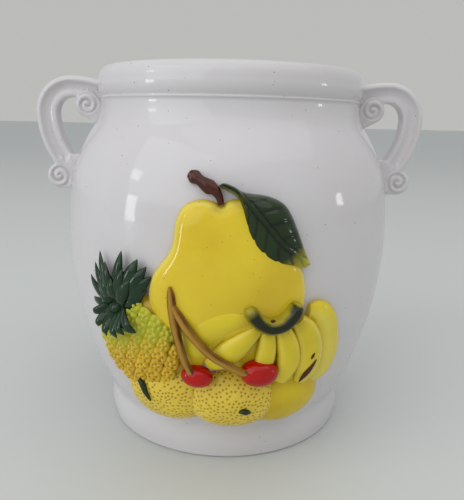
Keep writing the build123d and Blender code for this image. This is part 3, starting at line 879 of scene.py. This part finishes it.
def peel_tree():
    """Tree that sinks scattered pits into a peel and marks them darker, with pooled glaze and painted
    shade.
    """
    tree, source = open_tree("pitted_peel", [
        (label, "NodeSocketFloat") for label in ("Spacing", "Pit Radius", "Pit Depth")
    ])
    scatter = add_node(tree, "GeometryNodeDistributePointsOnFaces", {"distribute_method": "POISSON"},
                       Mesh=(source, "Geometry"), Distance_Min=(source, "Spacing"),
                       Density_Max=400000.0, Seed=7)
    near = add_node(tree, "GeometryNodeProximity", {"target_element": "POINTS"})
    plug(tree, (scatter, "Points"), near.inputs[0])
    sink = add_node(tree, "ShaderNodeMapRange", {"interpolation_type": "SMOOTHSTEP"},
                    Value=(near, "Distance"), From_Max=(source, "Pit Radius"), To_Min=1, To_Max=0)
    mark = add_node(tree, "GeometryNodeStoreNamedAttribute", {"data_type": "FLOAT", "domain": "POINT"},
                    Geometry=(source, "Geometry"), Name="pool", Value=(sink, "Result"))
    depth = add_math(tree, "MULTIPLY", (sink, "Result"), (source, "Pit Depth"))
    facing = add_node(tree, "GeometryNodeInputNormal")
    down = add_node(tree, "ShaderNodeVectorMath", {"operation": "SCALE"},
                    Vector=(facing, "Normal"), Scale=depth)
    move = add_node(tree, "GeometryNodeSetPosition", Geometry=(mark, "Geometry"), Offset=(down, "Vector"))
    return close_tree(tree, source, (move, "Geometry"))


peel = peel_tree()
pit_spacing = 0.0019
pit_radius = 0.001
pit_depth = 0.0005


def make_citrus(name, angle, share, half_length, half_breadth, proud, node):
    """Pitted fruit laid on the wall."""
    skin = pillow_mesh(name, at_share(angle, share), oval(half_length, half_breadth), proud,
                       half_breadth * border_share, 0.3, rows=72)
    mesh = grow(name, skin, peel, {
        "Spacing": pit_spacing, "Pit Radius": pit_radius, "Pit Depth": -pit_depth, "Finish": orange_glaze,
    })
    keep(name, mesh, orange_glaze, node)


make_citrus("left_citrus", -21.2, 0.147, 0.0252, 0.0212, 0.011, "left_orange")
make_citrus("front_citrus", 2.6, 0.142, 0.0255, 0.0208, 0.013, "front_orange")


def make_cherry(name, angle, share, half_length, half_breadth, proud, node, turn=0.0):
    """Cherry: a plump ball, a little longer than wide."""
    spot = at_share(angle, share)
    middle = on_wall(*spot, proud - half_breadth)
    out = wall_normal(*spot)
    along = Vector((cos(spot[0]), sin(spot[0]), 0))
    along = along * cos(turn) + out.cross(along) * sin(turn)
    across = out.cross(along)
    rows, steps = 24, 40
    rings = []
    for row in range(1, rows):
        way = pi * row / rows
        girth = half_breadth * sin(way) ** 0.9
        rings.append([
            middle + along * half_length * cos(way) * -1
            + (across * cos(2 * pi * step / steps) + out * sin(2 * pi * step / steps)) * girth
            for step in range(steps)
        ])
    mesh = ring_mesh(name, rings)
    keep(name, mesh, cherry_glaze, node)


leaf_upper_shares = [
    (-2.7, 0.953), (-1.4, 0.965), (1.6, 0.954), (3.6, 0.940), (6.5, 0.933), (10.2, 0.927), (13.6, 0.914),
    (16.2, 0.893), (18.0, 0.860), (19.5, 0.819), (20.8, 0.775), (22.2, 0.732), (24.0, 0.688),
]
leaf_lower_shares = [
    (-2.7, 0.953), (-1.2, 0.944), (1.1, 0.930), (2.7, 0.913), (3.5, 0.880), (3.8, 0.840), (4.3, 0.794),
    (5.5, 0.747), (7.5, 0.712), (10.2, 0.690), (13.2, 0.681), (16.6, 0.678), (20.2, 0.672), (22.6, 0.672),
    (24.0, 0.688),
]


leaf_edge = 0.005
leaf_edge_lift = 0.004
leaf_middle_lift = 0.007
groove_place = 0.0013
groove_half_width = 0.0009
groove_depth = 0.0006
vein_depth = 0.0005
vein_count = 8.6
vein_slant = 1.5
vein_start = 0.16


def make_leaf():
    """Leaf of the pear: a dome between two side curves, with a raised midrib and side veins."""
    angle, height = centre = at_share(12.4, 0.814)
    slope = wall_normal(0, height).xy.length

    def side(shares, count=110):
        run = curve_through([(x, y, 0) for x, y in from_wall(centre, shares)], 24)
        lengths = [0]
        for near, far in zip(run, run[1:]):
            lengths.append(lengths[-1] + (far - near).length)
        even, place = [], 0
        for index in range(count + 1):
            aim = lengths[-1] * index / count
            while place < len(run) - 2 and lengths[place + 1] < aim:
                place += 1
            span = lengths[place + 1] - lengths[place]
            even.append(run[place].lerp(run[place + 1], min(1, (aim - lengths[place]) / span)))
        return even

    upper = side(leaf_upper_shares)
    lower = side(leaf_lower_shares)
    columns = 64
    points, pool_and_shade_levels, bares, faces = [], [], [], []
    last = len(upper) - 1
    for row, (top, low) in enumerate(zip(upper, lower)):
        along = row / last
        half = (top - low).length / 2
        for column in range(columns + 1):
            across = sin(pi / 2 * (2 * column / columns - 1))
            spot = low.lerp(top, (across + 1) / 2)
            edge = (1 - abs(across)) * half
            dome = sqrt(max(0, 1 - (1 - min(edge / leaf_edge, 1)) ** 2))
            arch = (1 - across**2) * sin(pi * min(1, along * 0.9 + 0.1)) ** 0.7
            rib = abs(across) * half
            groove = max(0, 1 - abs(rib - groove_place) / groove_half_width) * (along > vein_start)
            vein_run = along * vein_count - abs(across) * vein_slant
            vein = max(0, 1 - abs(vein_run - round(vein_run)) / 0.2) * (vein_start < along < 0.97)
            vein *= min(1, edge / 0.004) * min(1, rib / 0.003)
            lift = leaf_edge_lift * dome + leaf_middle_lift * arch - tuck * (dome == 0)
            lift -= groove_depth * groove + vein_depth * vein
            level = height + spot.y * slope
            points.append(on_wall(angle + spot.x / wall_radius(level), level, lift))
            # Pooled glaze and painted shade in the grooves beside the midrib and in the veins
            pool_and_shade_levels.append(min(1, 0.9 * groove + 0.7 * vein))
            tip = max(0, min(1, (along - 0.74 - 0.05 * across) / 0.16))
            pale_edge = 0.5 * (1 - min(edge / 0.0012, 1)) * (across < 0)
            bares.append(max(tip, pale_edge) * (1 - 0.9 * vein))
    for row in range(last):
        for column in range(columns):
            low = row * (columns + 1) + column
            faces.append((low + columns + 1, low + columns + 2, low + 1, low))
    mesh = paint(new_mesh("leaf_blade", points, faces=faces), pool=pool_and_shade_levels, bare=bares)
    form = bmesh.new()
    form.from_mesh(mesh)
    bmesh.ops.remove_doubles(form, verts=form.verts, dist=0.000002)
    form.to_mesh(mesh)
    form.free()
    keep("leaf_blade", mesh, leaf_glaze, "pear_leaf")


make_leaf()

# ---- pineapple

pineapple_lean = radians(105)
flesh_proud = 0.0082
eye_size = 0.0056
crown_foot = Vector((0.0236, 0.006))
crown_foot_radius = 0.0085


def eyes_tree():
    """Tree that sets one eye on every point, standing out of the wall and in line with the fruit."""
    tree, source = open_tree("pineapple_eyes", [
        ("Eye", "NodeSocketObject"), ("Eye Size", "NodeSocketFloat"),
    ])
    eye = add_node(tree, "GeometryNodeObjectInfo", Object=(source, "Eye"))
    turn = add_node(tree, "FunctionNodeAxesToRotation", {"primary_axis": "Z", "secondary_axis": "X"},
                    Primary_Axis=read_attribute(tree, "out_way", "FLOAT_VECTOR"),
                    Secondary_Axis=read_attribute(tree, "along_way", "FLOAT_VECTOR"))
    size = add_math(tree, "MULTIPLY", read_attribute(tree, "growth", "FLOAT"), (source, "Eye Size"))
    place = add_node(tree, "GeometryNodeInstanceOnPoints", Points=(source, "Geometry"),
                     Instance=(eye, "Geometry"), Rotation=(turn, "Rotation"), Scale=size)
    return close_tree(tree, source, (place, "Instances"))


def eye_mesh():
    """One eye of unit length: a ring of small lumps round a spined middle, with pits between."""
    steps, lobes = 40, 5
    rings, pool_and_shade_levels = [], []
    for row in range(1, 13):
        share = row / 12
        ring, pool_and_shade_ring = [], []
        for step in range(steps):
            way = -2 * pi * step / steps
            lump = 0.5 + 0.5 * cos(lobes * way)
            reach = 1 / (abs(cos(way)) ** 1.5 + abs(sin(way) / 0.86) ** 1.5) ** (1 / 1.5)
            middle = 0.30 * max(0, 1 - (share / 0.34) ** 2)
            band = max(0, 1 - ((share - 0.62) / 0.36) ** 2)
            ring.append(Vector((
                reach * share * cos(way), reach * share * sin(way),
                0.14 + middle + 0.26 * band * (0.35 + 0.65 * lump) - 0.22 * share**2,
            )))
            # Pooled glaze and painted shade in the pits between the lumps and round the eye's edge
            pit = max(0, 1 - abs(share - 0.44) / 0.16) * (1 - lump) ** 1.5
            pool_and_shade_ring.append(min(1, 1.1 * pit + max(0, (share - 0.8) / 0.2) * (1 - 0.6 * lump)))
        rings.append(ring)
        pool_and_shade_levels.append(pool_and_shade_ring)
    return ring_mesh("eye", rings, closed_top=False, pool=pool_and_shade_levels)


def make_pineapple():
    """Pineapple: a rounded body with its eyes in slanting rows."""
    half_length, half_breadth, squareness = 0.0290, 0.0255, 2.5
    angle, height = at_share(-27.5, 0.362)
    slope = wall_normal(0, height).xy.length

    def away(along, across):
        return abs(along / half_length) ** squareness + abs(across / half_breadth) ** squareness

    def lift_at(along, across):
        return flesh_proud * sqrt(max(0, 1 - min(1, away(along, across)) ** 2.2))

    knots = oval(half_length, half_breadth, pineapple_lean, squareness)
    skin = pillow_mesh("pineapple_flesh", (angle, height), knots, flesh_proud, border=0.018, crown=0.3)
    # Flesh between the eyes a little darker all over: pooled glaze and painted shade
    paint(skin, pool=[0.15] * len(skin.vertices))
    points, outs, alongs, growths, greens = [], [], [], [], []
    row_step, column_step = 0.0058, 0.0088
    spread = 0.001
    tilt = 0.7 / (2 * spread)
    for row in range(-5, 6):
        for column in range(-4, 5):
            along = row * row_step
            across = (column + 0.5 * (row % 2)) * column_step
            under_crown = (Vector((along, across)) - crown_foot).length < crown_foot_radius
            if away(along, across) > 0.93 or under_crown:
                continue
            x = along * cos(pineapple_lean) - across * sin(pineapple_lean)
            y = along * sin(pineapple_lean) + across * cos(pineapple_lean)
            level = height + y * slope
            turn = angle + x / wall_radius(level)
            points.append(on_wall(turn, level, lift_at(along, across) - 0.0002))
            up_lift = lift_at(along + spread, across) - lift_at(along - spread, across)
            side_lift = lift_at(along, across + spread) - lift_at(along, across - spread)
            out_way = wall_normal(turn, level)
            round_way = Vector((cos(turn), sin(turn), 0))
            up_way = out_way.cross(round_way)
            fruit_way = round_way * cos(pineapple_lean) + up_way * sin(pineapple_lean)
            cross_way = out_way.cross(fruit_way)
            facing = (out_way - fruit_way * up_lift * tilt - cross_way * side_lift * tilt).normalized()
            outs.extend(facing)
            alongs.extend(fruit_way)
            growths.append(1 + 0.12 * sin(row * 2.3 + column * 4.1))
            greens.append(max(0, min(1, (along + 0.004) / 0.012)))
    base = new_mesh("eye_places", points)
    for label, kind, field, values in (
        ("out_way", "FLOAT_VECTOR", "vector", outs), ("along_way", "FLOAT_VECTOR", "vector", alongs),
        ("growth", "FLOAT", "value", growths), ("bare", "FLOAT", "value", greens),
    ):
        base.attributes.new(label, kind, "POINT").data.foreach_set(field, values)
    eye = add_object("eye", eye_mesh())
    eyes = grow("pineapple_eyes", base, eyes_tree(), {
        "Eye": eye, "Eye Size": eye_size, "Finish": pineapple_glaze,
    })
    bpy.data.objects.remove(eye)
    keep("pineapple_flesh", skin, pineapple_glaze, "pineapple_fruit")
    keep("pineapple_eyes", eyes, pineapple_glaze, "pineapple_fruit")


make_pineapple()

# Blades of the crown: root, tip, share of width and how far the tip stands off the wall
blade_shares = [
    (-34.2, 0.510, -40.4, 0.694, 0.88, 0.9), (-34.6, 0.507, -43.0, 0.645, 0.88, 0.9),
    (-35.0, 0.503, -46.2, 0.588, 0.86, 0.8), (-35.0, 0.498, -45.6, 0.500, 0.82, 1.0),
    (-33.0, 0.515, -31.3, 0.710, 1.15, 1.0), (-32.0, 0.515, -25.6, 0.690, 1.45, 1.1),
    (-31.4, 0.512, -22.6, 0.668, 1.40, 1.3), (-31.3, 0.508, -21.0, 0.636, 1.30, 1.4),
    (-31.5, 0.505, -22.2, 0.588, 1.25, 1.7), (-31.8, 0.503, -24.0, 0.545, 1.15, 2.0),
    (-33.6, 0.512, -36.8, 0.664, 1.10, 1.9), (-33.0, 0.512, -29.6, 0.652, 1.20, 2.4),
    (-32.6, 0.508, -27.0, 0.618, 1.35, 2.8), (-33.8, 0.505, -38.6, 0.606, 1.05, 2.1),
    (-33.2, 0.505, -33.6, 0.612, 1.10, 2.8), (-32.6, 0.500, -28.0, 0.575, 1.10, 3.1),
    (-34.2, 0.500, -38.8, 0.552, 0.95, 2.3),
]
droop_shares = [
    (-34.8, 0.502, -41.6, 0.470, 0.80, 0.85), (-34.6, 0.500, -38.4, 0.428, 0.85, 1.1),
    (-33.6, 0.502, -34.6, 0.405, 0.90, 1.2), (-32.8, 0.502, -30.4, 0.412, 0.95, 1.25),
    (-32.4, 0.505, -27.6, 0.432, 1.05, 1.25), (-32.0, 0.510, -23.8, 0.448, 1.20, 1.2),
]
blade_half_width = 0.0034
blade_lift = 0.003
droop_lift = 0.0112
blade_bow = 0.0022
blade_profile_shares = [(0.0, 0.45), (0.22, 0.95), (0.45, 1.0), (0.72, 0.72), (0.9, 0.36), (1.0, 0.03)]


def make_crown():
    """Crown of the pineapple: pointed blades that fan out from its heart, and some that droop."""
    paths = []
    for blades, drooping in ((blade_shares, False), (droop_shares, True)):
        for root_angle, root_share, tip_angle, tip_share, width_share, lift_share in blades:
            path = []
            for along, width in blade_profile_shares:
                bow = blade_bow * sin(pi * along)
                lift = blade_lift * (1 + (lift_share - 1) * along * 0.8) + bow
                if drooping:
                    climb = (droop_lift * lift_share - blade_lift) * min(1, along * 1.6)
                    lift = blade_lift + climb + bow / 2
                path.append((
                    root_angle + (tip_angle - root_angle) * along,
                    root_share + (tip_share - root_share) * along,
                    blade_half_width * width_share * width, lift,
                ))
            paths.append(path)
    pillow("crown_heart", at_share(-33.4, 0.497), oval(0.0058, 0.0052), 0.0092, 0.005, crown_glaze,
           "pineapple_crown")
    mesh = run_paths("crown_blades", paths, 0.5, crown_glaze, steps=5, rule=blade_rule)
    keep("crown_blades", mesh, crown_glaze, "pineapple_crown")


make_crown()

# ---- handles

upper_scroll = Vector((neck_radius + 0.0101, neck_height - 0.0032))
lower_scroll = Vector((neck_radius + 0.0302, neck_height - 0.0494))
upper_scroll_radius = 0.0079
lower_scroll_radius = 0.0083
scroll_margin = 0.0005
strap_half_thickness = 0.0069
cheek_depth = 0.0016
coil_depth = 0.0013
coil_spacing = 0.52
cheek_start = 0.0035
cheek_round = 0.003
hollow_inner = 0.0068
hollow_width = 0.01
strap_top = Vector((neck_radius + handle_out, neck_height + handle_rise))
bend_centre = strap_top - Vector((0, handle_bend))
drop_centre = bend_centre + Vector((handle_bend - handle_drop_arc, 0))
root_centre = strap_top - Vector((0, handle_root_arc))
strap_run = (
    arc(root_centre, handle_root_arc, pi / 2 + handle_root_angle, pi / 2, 24)
    + arc(bend_centre, handle_bend, pi / 2, 0, 30)[1:]
    + arc(drop_centre, handle_drop_arc, 0, -handle_drop_angle, 30)[1:]
)


def scroll_wave(spot, centre, radius, sense):
    """How deep the spiral groove of a scroll is at a spot of its cheek."""
    step = spot - centre
    away = step.length
    if away > radius:
        return 0
    phase = away / (radius * coil_spacing) - sense * atan2(step.y, step.x) / (2 * pi)
    groove = (0.5 + 0.5 * cos(2 * pi * phase)) ** 2
    fade = min(1, (radius - away) / (radius * 0.25))
    return coil_depth * groove * fade


def make_handle(name, node):
    """Handle: the solid's form with rounded glaze, a hollow cheek and coiled scrolls."""
    shape = add_object(name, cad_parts[node].data.copy())
    weld = shape.modifiers.new("weld", "WELD")
    weld.merge_threshold = 0.00001
    cloth = shape.modifiers.new("cover", "REMESH")
    cloth.mode = "VOXEL"
    cloth.voxel_size = 0.0006
    soften = shape.modifiers.new("soften", "SMOOTH")
    soften.factor = 0.5
    soften.iterations = 10
    mesh = plain_mesh(shape)
    pool_and_shade_levels = []
    for vertex in mesh.vertices:
        x, y, z = vertex.co
        spot = Vector((abs(x), z))
        near = min(strap_run, key=lambda place: (spot - place).length)
        reach = (spot - near).length
        outside = (near - drop_centre).length < (spot - drop_centre).length
        offset = reach if outside else -reach
        cheek = max(0, min(1, (abs(y) - cheek_start) / cheek_round))
        over = min(1, max(0, (offset + hollow_inner) / hollow_width))
        hollow = cheek_depth * max(0, sin(pi * over)) ** 0.8
        coil = max(
            scroll_wave(spot, upper_scroll, upper_scroll_radius, -1),
            scroll_wave(spot, lower_scroll, lower_scroll_radius, 1),
        )
        in_scroll = (
            (spot - upper_scroll).length < upper_scroll_radius + scroll_margin
            or (spot - lower_scroll).length < lower_scroll_radius + scroll_margin
        )
        cut = coil if in_scroll else hollow * (reach < strap_half_thickness)
        vertex.co.y -= (1 if y > 0 else -1) * cut * cheek
        # Pooled glaze and painted shade in the spiral grooves of the scrolls
        pool_and_shade_levels.append(0.5 * coil / coil_depth * cheek)
    paint(mesh, pool=pool_and_shade_levels)
    keep(name, mesh, white_glaze, node)


make_handle("left_scroll", "left_handle")
make_handle("right_scroll", "right_handle")

make_cherry("left_fruit_red", -8.0, 0.290, 0.0086, 0.0060, 0.0155, "left_cherry", radians(-6))
make_cherry("right_fruit_red", 9.8, 0.306, 0.0102, 0.0075, 0.0166, "right_cherry")
